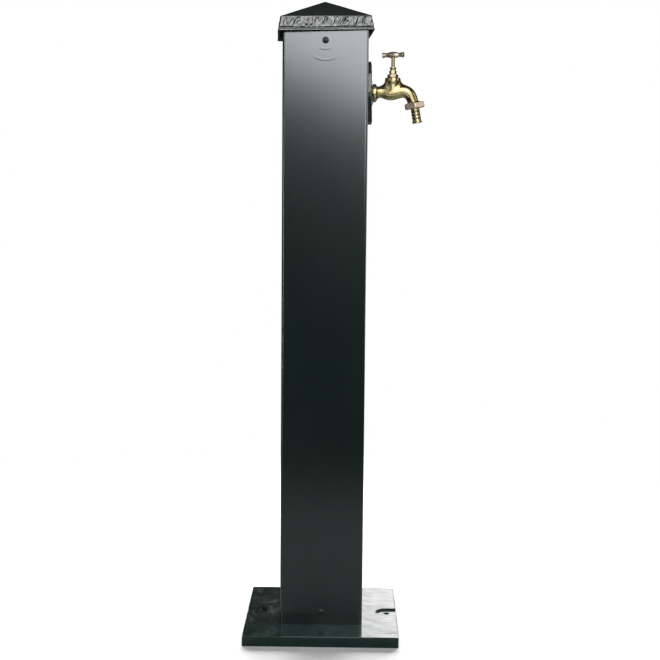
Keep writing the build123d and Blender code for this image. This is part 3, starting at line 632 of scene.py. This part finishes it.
def screw_head(name, place, across, up, width, height, shank_length):
    """A round-head screw: polar grid, whose dome falls as a circle's arc from its height to the rim's
    share of it, and is cut by a cross of two eased slots; the flat under the head and the shank follow
    on further rows."""
    turn = np.linspace(0, 2 * math.pi, head_columns, endpoint=False)
    share = np.linspace(0, 1, head_rows)
    rise = rim_share + (1 - rim_share) * np.sqrt(np.maximum(1 - share ** 2, 0))
    radius = share * width / 2
    x = radius[:, None] * np.cos(turn)
    y = radius[:, None] * np.sin(turn)
    slot_half, slot_end = 0.055 * width, 0.29 * width
    side_ease, end_ease = 0.02 * width, 0.04 * width
    slots = [
        np.clip((slot_half - np.abs(short)) / side_ease + 0.5, 0, 1)
        * np.clip((slot_end - np.abs(long)) / end_ease + 0.5, 0, 1)
        for short, long in ((x, y), (y, x))
    ]
    tall = (rise * height)[:, None] - np.maximum(*slots) * height * slot_depth
    shank = screw_shank / 2
    below = np.array([(width / 2, 0.0), (shank, 0.0), (shank, -shank_length), (0.0, -shank_length)])
    rows_x = np.concatenate([x, below[:, :1] * np.cos(turn)])
    rows_y = np.concatenate([y, below[:, :1] * np.sin(turn)])
    rows_z = np.concatenate([tall, np.repeat(below[:, 1:], len(turn), axis=1)])
    across, up = np.array(across, float), np.array(up, float)
    side = np.cross(up, across)
    grid = np.array(place) + rows_x[..., None] * across + rows_y[..., None] * side + rows_z[..., None] * up
    piece = grid_piece(name, grid, screw_material)
    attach(piece, "fountain")
    return piece


post_low, post_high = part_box("post_tube")
for node, width in (("base_screws", 11.5 * mm), ("cap_screws", 10 * mm)):
    low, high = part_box(node)
    middle = (low + high) / 2
    for side, face, away in (("front", post_low.y, -1.0), ("back", post_high.y, 1.0)):
        head_place = (middle.x, face, middle.z)
        piece = screw_head(
            f"{node}_{side}", head_place, cross_along, (0, away, 0), width, screw_height, screw_length
        )
        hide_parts(node)


# Backplate: a small iron casting that spreads the tap's load over the post's side, with a rough cone
# round the tap's flange. Two screws hold it, with nuts inside the post. It is drawn thinner than the
# solid, as in the photograph: most in the middle, less towards the upper end, and not at the lower.
plate_thin_middle = 0.68
plate_thin_upper = 0.85
thin_from, thin_run = 10 * mm, 30 * mm
plate_voxel = 0.6 * mm
plate_waves = ((4.2 * mm, 0.6 * mm, 31), (2.0 * mm, 0.28 * mm, 32))
plate_bore, bore_ease = 13.2 * mm, 1.0 * mm
plate_bare, bare_ease = 0.8 * mm, 1.5 * mm
cone_reach, cone_fade, cone_skin = 24 * mm, 6 * mm, 0.22
plate_head = 9 * mm
plate_head_height = 2.6 * mm
plate_cross = (0, 0.6, 0.8)

iron_paint = cast_paint("cast_iron_paint", iron_green, pitted=0.45)
plate_piece = casting("backplate", "backplate_casting", rounds=1, voxel=plate_voxel)
plate_points, plate_normals = points_of(plate_piece)
plate_low, plate_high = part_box("backplate")
plate_middle = (plate_low + plate_high) / 2
outward = eased_step(plate_points[:, 0], plate_low.x + plate_bare, bare_ease)
from_tap = np.hypot(plate_points[:, 1], plate_points[:, 2] - plate_middle.z)
bored = eased_step(from_tap, plate_bore, bore_ease)
toward_end = eased_step(np.abs(plate_points[:, 2] - plate_middle.z), thin_from, thin_run)
plate_thin_end = np.where(plate_points[:, 2] > plate_middle.z, plate_thin_upper, 1.0)
thinned = plate_thin_middle + (plate_thin_end - plate_thin_middle) * toward_end
plate_points[:, 0] = plate_low.x + (plate_points[:, 0] - plate_low.x) * thinned
near_cone = np.clip((cone_reach - from_tap) / cone_fade, cone_skin, 1)
coarse = relief(plate_points, plate_waves) * outward * bored * near_cone
set_points(plate_piece, plate_points + plate_normals * coarse[:, None])
plate_piece.data.materials.append(iron_paint)
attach(plate_piece, "fountain")
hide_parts("backplate")

plate_screw_low, plate_screw_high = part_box("backplate_screws")
plate_heads = (
    # which end, height of the head's middle, how far it is sunk with the thinner plate
    ("lower", plate_screw_low.z + plate_head / 2, 4.2 * mm),
    ("upper", plate_screw_high.z - plate_head / 2, 6.0 * mm),
)
for end, z, sunk in plate_heads:
    head_place = (plate_screw_high.x - sunk, 0, z)
    shank_length = head_place[0] - plate_screw_low.x
    piece = screw_head(
        f"backplate_screw_{end}", head_place, plate_cross, (1, 0, 0),
        plate_head, plate_head_height, shank_length,
    )
    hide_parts("backplate_screws")


# Plumbing inside the post: galvanised socket, riser and elbow, and the nuts behind the backplate.
# Hidden, but finished: hot-dip zinc with its grey spangle.
zinc_dark = (0.50, 0.52, 0.54, 1)
zinc_pale = (0.68, 0.70, 0.71, 1)
spangle_size = 5 * mm

zinc, here = new_finish("galvanised", Metallic=1.0)
spangle = here.node("TexVoronoi", None, {"Vector": here, "Scale": 1 / spangle_size, "Randomness": 1.0})
streak = noise(here, 9 * mm, detail=4.0, rough=0.6)
drive(
    zinc,
    Base_Color=between(spread(streak, 0.35, 0.7), zinc_dark, zinc_pale),
    Roughness=streak * 0.15 + 0.43,
    Normal=bump(spangle + streak * 0.5, 0.25, 0.1 * mm),
)
finish_solids(zinc, "inlet_socket", "riser_pipe", "pipe_elbow", "backplate_nuts")


# Tap body: a yellow brass casting, ground and polished, with a swan spout and a tall tower.
# It screws into a brass socket inside the backplate's cone and closes on it with its flange, whose
# outer part is drawn further back, to meet the thinner cone.
brass_pale = (0.93, 0.83, 0.50, 1)
brass_deep = (0.76, 0.61, 0.27, 1)
brass_brown = (0.42, 0.29, 0.13, 1)
rose_pale = (0.93, 0.78, 0.60, 1)
rose_deep = (0.88, 0.72, 0.56, 1)
tap_voxel = 0.42 * mm
tap_waves = ((9 * mm, 0.04 * mm, 41), (4 * mm, 0.01 * mm, 42))
cone_height = 11.8 * mm
skirt_radius = 12.5 * mm
skirt_back = 3.5 * mm


def brass(name, light, dark, gloss, stained, uneven):
    """Polished brass: soft clouds of tone, brown stains in patches, fine scratches and a dull bloom."""
    material, here = new_finish(name, Metallic=1.0)
    cloud = noise(here, 11 * mm, detail=3.0, rough=0.55)
    patch = noise(here, 6 * mm, detail=3.0, rough=0.6)
    scratch = noise(here, 1.1 * mm, stretch=(3, 0.6, 0.6))
    tone = between(spread(cloud, 0.32, 0.68), dark, light)
    drive(
        material,
        Base_Color=between(spread(patch, 1 - stained, 1.0) * 0.85, tone, brass_brown),
        Roughness=cloud * 0.10 + spread(patch, 0.45, 0.8) * 0.16 + scratch * 0.06 + gloss,
        Normal=bump(scratch * 0.25 + patch * 0.5 + cloud, uneven, 0.12 * mm),
    )
    return material


cast_brass = brass("cast_brass", brass_pale, brass_deep, gloss=0.12, stained=0.20, uneven=0.03)
turned_brass = brass("turned_brass", brass_pale, brass_deep, gloss=0.16, stained=0.16, uneven=0.05)
rose_brass = brass("rose_brass", rose_pale, rose_deep, gloss=0.30, stained=0.16, uneven=0.05)


def seat(piece, body, node):
    """Makes a brass piece ride on a body and stand for its node, lit by the brass lamps alone."""
    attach(piece, body)
    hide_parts(node)
    light_link("brass", piece, "INCLUDE")
    light_link("paint", piece, "EXCLUDE")
    light_link("object", piece, "EXCLUDE")


tap_piece = casting("tap_body", "tap_casting", rounds=6, voxel=tap_voxel)
tap_points, tap_normals = points_of(tap_piece)
ripple = relief(tap_points, tap_waves)
from_barrel = np.hypot(tap_points[:, 1], tap_points[:, 2] - plate_middle.z)
skirt = (from_barrel > skirt_radius) & (tap_points[:, 0] < plate_low.x + cone_height + slack)
tap_points[skirt, 0] -= skirt_back
set_points(tap_piece, tap_points + tap_normals * ripple[:, None])
tap_piece.data.materials.append(cast_brass)
seat(tap_piece, "fountain", "tap_body")
finish_solids(turned_brass, "tap_extension", "extension_locknut")


# Headwork: a turned bonnet whose hexagon screws down on a fibre ring into the tower, and above it the
# gland nut with its rim, which squeezes the packing round the spindle. All turned from brass bar.
# The hexagons' flats look to the camera, so their corners lie along X.
joints = {joint["name"]: joint for joint in frame["joints"]}
stem_place = np.array(joints["handle_turn"]["pos_m"])
stem_up = np.array((0.0, 0.0, 1.0))
stem_side = np.array((1.0, 0.0, 0.0))
hexagon_side = np.array((math.cos(math.pi / 6), math.sin(math.pi / 6), 0.0))
chamfer = 0.12 * mm
fibre_dark = (0.30, 0.09, 0.05, 1)
fibre_red = (0.46, 0.18, 0.11, 1)


def turned(name, profile, place, up, side, material, flats=None, columns=144, spacing=0.25 * mm):
    """A turned piece: a closed outline, in millimetres, of rows of radius, height and corner's radius,
    carried round an axis. With flats, each radius is held under a hexagon's face by a smooth minimum,
    which leaves chamfers as arcs."""
    closed = np.array(profile + profile[:1], float) * mm
    rows = resample(eased_corners(closed), spacing)
    turn = np.linspace(0, 2 * math.pi, columns, endpoint=False)
    radius = np.repeat(rows[:, :1], columns, axis=1)
    if flats:
        fold = (turn + math.pi / 6) % (math.pi / 3) - math.pi / 6
        face = (flats / 2) / np.cos(fold)
        gap = (radius - face[None]) / chamfer
        radius = radius - chamfer * np.logaddexp(0, gap)
    front = np.cross(up, side)
    spokes = np.cos(turn)[None, :, None] * side + np.sin(turn)[None, :, None] * front
    grid = place + radius[..., None] * spokes + rows[:, 1][:, None, None] * up
    return grid_piece(name, grid, material)


bonnet_piece = turned(
    "bonnet_turned",
    [
        (4.1, 17.8, 0), (6.6, 17.8, 0), (6.6, 24.3, 0), (7.9, 24.3, 0.3), (8.66, 25.0, 0.3),
        (8.66, 28.1, 0.3), (7.7, 28.9, 0.3), (4.05, 28.9, 0), (4.05, 32.5, 0.2), (2.85, 32.5, 0),
        (2.85, 27.4, 0), (4.1, 27.4, 0),
    ],
    stem_place, stem_up, hexagon_side, rose_brass, flats=15 * mm,
)
seat(bonnet_piece, "fountain", "bonnet")

gland_piece = turned(
    "gland_nut_turned",
    [
        (4.1, 29.4, 0), (5.2, 29.4, 0.2), (5.66, 29.9, 0.3), (5.66, 34.7, 0.3), (5.1, 35.2, 0.2),
        (4.0, 35.4, 0.3), (4.0, 36.6, 0.4), (5.1, 38.0, 0.4), (5.3, 39.0, 0.4), (4.9, 39.7, 0.3),
        (3.2, 39.8, 0.2), (2.85, 39.4, 0), (2.85, 34.2, 0), (4.1, 34.2, 0),
    ],
    stem_place, stem_up, hexagon_side, turned_brass, flats=9.8 * mm,
)
seat(gland_piece, "fountain", "gland_nut")

fibre, here = new_finish("red_fibre", IOR=1.45)
weave = noise(here, 0.8 * mm, detail=4.0, rough=0.7)
drive(
    fibre,
    Base_Color=between(weave, fibre_dark, fibre_red),
    Roughness=weave * 0.2 + 0.6,
    Normal=bump(weave, 0.4, 0.08 * mm),
)
finish_solids(fibre, "bonnet_gasket", "gland_packing")


# Spindle and valve: the spindle is turned brass with a squared top, riveted over in the handle.
# The valve hangs in its foot with a rubber washer and a small nut.
rubber_black = (0.015, 0.015, 0.016, 1)
rubber_grey = (0.040, 0.040, 0.041, 1)

spindle_piece = turned(
    "spindle_turned",
    [
        (0, 12.5, 0), (4.0, 12.5, 0), (4.0, 22.0, 0), (2.75, 22.2, 0), (2.75, 55.5, 0), (1.9, 55.5, 0),
        (1.9, 63.2, 0.3), (1.2, 63.6, 0.3), (0, 63.7, 0),
    ],
    stem_place, stem_up, stem_side, turned_brass, columns=72,
)
seat(spindle_piece, "stem", "spindle")
rubber, here = new_finish("black_rubber", IOR=1.5)
bloom = noise(here, 1.5 * mm, detail=3.0, rough=0.6)
drive(
    rubber,
    Base_Color=between(bloom, rubber_black, rubber_grey),
    Roughness=bloom * 0.2 + 0.55,
    Normal=bump(bloom, 0.3, 0.05 * mm),
)
finish_solids(rubber, "valve_washer", "hose_washer")
finish_solids(turned_brass, "jumper_valve", "valve_nut")


# Tee handle: a bar turned with a swelling at the spindle and flared, square-cut ends.
# It is pushed on the spindle's square, and stands as in the photograph, its right end a little nearer.
handle_turn = math.radians(-22)
handle_rise = 58.7 * mm
# In millimetres: half the bar's length, its waist's radius, and what the flares and the swelling add.
handle_half = 17.3
bar_waist, bar_flare, bar_swell = 3.10, 1.50, 1.70
flare_from, flare_run, flare_power = 10.4, 7.5, 1.3
swell_to, swell_run = 11.0, 8.0
end_round = 0.7

bar_along = np.array((math.cos(handle_turn), math.sin(handle_turn), 0.0))
bar_place = stem_place + stem_up * handle_rise
along = np.linspace(-1, 1, 240) * handle_half
flare = eased_step(np.abs(along), flare_from, flare_run) ** flare_power
swell = np.clip((swell_to - np.abs(along)) / swell_run, 0, 1)
rounding = 1 - np.clip((handle_half - np.abs(along)) / end_round, 0, 1)
bar_radius = bar_waist + bar_flare * flare + bar_swell * swell * swell * (3 - 2 * swell)
bar_radius = bar_radius - end_round * (1 - np.sqrt(1 - rounding ** 2))
bar_rows = np.stack([np.pad(bar_radius, 1), np.pad(along, 1, "edge")], axis=1) * mm
turn = np.linspace(0, 2 * math.pi, 120, endpoint=False)
bar_across = np.cross(stem_up, bar_along)
spokes = np.cos(turn)[None, :, None] * stem_up + np.sin(turn)[None, :, None] * bar_across
bar_grid = bar_place + bar_rows[:, 0][:, None, None] * spokes + bar_rows[:, 1][:, None, None] * bar_along
handle_piece = grid_piece("tee_handle_turned", bar_grid, rose_brass)
seat(handle_piece, "stem", "tee_handle")
light_link("rose", handle_piece, "INCLUDE")


# Outlet: a turned union nut holds the hose tail against the spout with a rubber washer between.
# The tail has four low ribs and a flared end, to grip a hose.
outlet_place = np.array(joints["union_nut_turn"]["pos_m"])
outlet_down = np.array(joints["union_nut_turn"]["axis"])
outlet_up = -outlet_down / np.linalg.norm(outlet_down)
outlet_side = np.cross((0.0, -1.0, 0.0), outlet_up)
nut_piece = turned(
    "union_nut_turned",
    [
        (8.1, 0.0, 0), (14.4, 0.0, 0.5), (17.0, 1.3, 0.6), (17.0, 7.1, 0.6), (14.4, 8.4, 0.5),
        (13.3, 8.4, 0.3), (13.3, 1.5, 0), (8.1, 1.5, 0),
    ],
    outlet_place, outlet_up, outlet_side, rose_brass, flats=29.6 * mm,
)
seat(nut_piece, "nut", "union_nut")
light_link("rose", nut_piece, "INCLUDE")

# In millimetres: the tail's radii, and its heights and lengths from the nut's lower end.
tail_bore, tail_core, tail_rib, tail_flare, tail_collar = 4.5, 6.6, 7.0, 7.8, 12.2
collar_low, collar_high = 1.5, 3.0
tail_length = 22.9
tail_neck = 2.2
tail_round = 0.35
flare_lip, flare_height = 0.05, 1.0
rib_count = 4
rib_pitch = (tail_length - tail_neck) / rib_count
rib_rise, rib_crest, rib_fall = (share * rib_pitch for share in (0.25, 0.4, 0.85))
tail_outline = [
    (tail_bore, collar_high), (tail_collar, collar_high), (tail_collar, collar_low),
    (tail_flare, collar_low), (tail_flare, 0.0), (tail_core, 0.0),
]
for rib in range(rib_count):
    top = -tail_neck - rib * rib_pitch
    tail_outline += [
        (tail_core, top), (tail_rib, top - rib_rise),
        (tail_rib, top - rib_crest), (tail_core, top - rib_fall),
    ]
tail_outline[-1] = (tail_flare - flare_lip, flare_height - tail_length)
tail_outline += [(tail_flare, -tail_length), (tail_bore, -tail_length)]
tail_piece = turned(
    "hose_tail_turned", [(radius, z, tail_round) for radius, z in tail_outline],
    outlet_place, outlet_up, outlet_side, turned_brass, spacing=0.22 * mm,
)
seat(tail_piece, "tail", "hose_tail")
